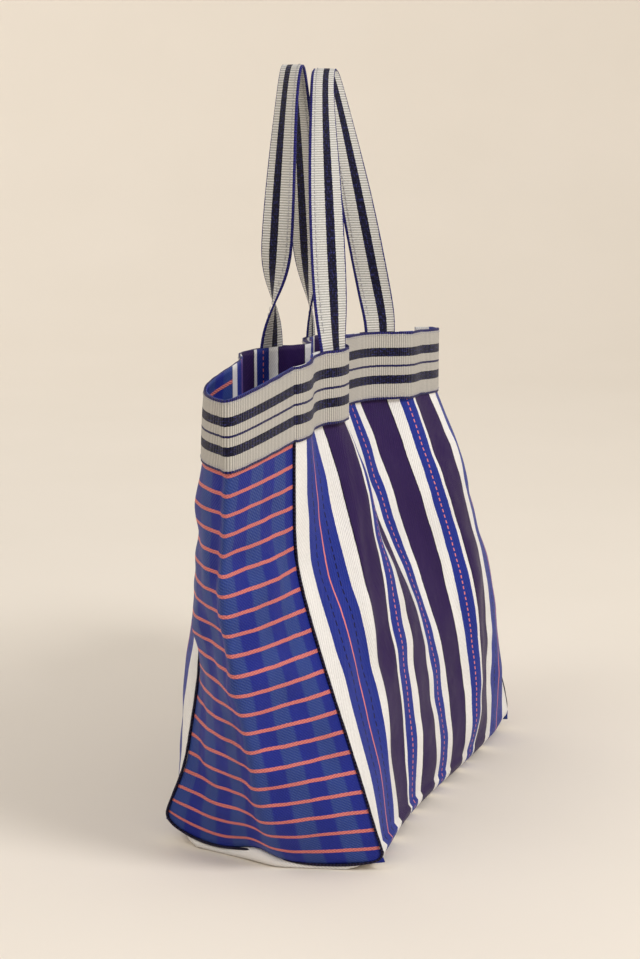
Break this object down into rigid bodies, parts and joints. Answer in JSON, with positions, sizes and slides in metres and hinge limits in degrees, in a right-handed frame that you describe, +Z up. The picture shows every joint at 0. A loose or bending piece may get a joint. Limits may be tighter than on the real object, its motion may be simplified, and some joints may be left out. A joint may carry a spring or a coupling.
{
  "type": "striped tote bag",
  "caption": "Open striped woven tote bag with pleated end gussets, a webbing rim band and two folded-webbing handles that fold outward.",
  "frame": {"origin": "on the floor, under the middle of the bag's bounding box", "axes": "+Z up, front panel faces -Y, the bag's width runs along X"},
  "size_m": [0.5512, 0.2058, 0.6503],
  "materials": {
    "striped_cloth": "woven plastic tape cloth with printed-look woven stripes, soft sheen",
    "gusset_cloth": "blue woven plastic tape cloth with level pink stripes",
    "seam_binding": "dark stitched binding",
    "rim_webbing": "ribbed off-white webbing with dark stripes",
    "handle_webbing": "ribbed webbing folded lengthwise",
    "sewing_thread": "matte thread"
  },
  "bodies": {
    "bag": {"body_cloth": "striped_cloth", "left_gusset": "gusset_cloth", "right_gusset": "gusset_cloth", "left_seam_binding": "seam_binding", "right_seam_binding": "seam_binding", "rim_band": "rim_webbing", "rim_top_stitching": "sewing_thread", "rim_bottom_stitching": "sewing_thread", "front_handle_left_end": "handle_webbing", "front_handle_right_end": "handle_webbing", "back_handle_left_end": "handle_webbing", "back_handle_right_end": "handle_webbing"},
    "front_handle": {"front_handle": "handle_webbing", "front_handle_stitching": "sewing_thread"},
    "back_handle": {"back_handle": "handle_webbing", "back_handle_stitching": "sewing_thread"}
  },
  "joints": [
    {"name": "front_handle_fold", "type": "hinge", "parent": "bag", "child": "front_handle", "pos_m": [-0.02763, -0.02359, 0.41541], "axis": [0.9999, 0.0148, 0], "range_deg": [0, 75]},
    {"name": "back_handle_fold", "type": "hinge", "parent": "bag", "child": "back_handle", "pos_m": [0.01852, 0.05973, 0.40555], "axis": [-0.9962, -0.0868, 0], "range_deg": [0, 150]}
  ]
}
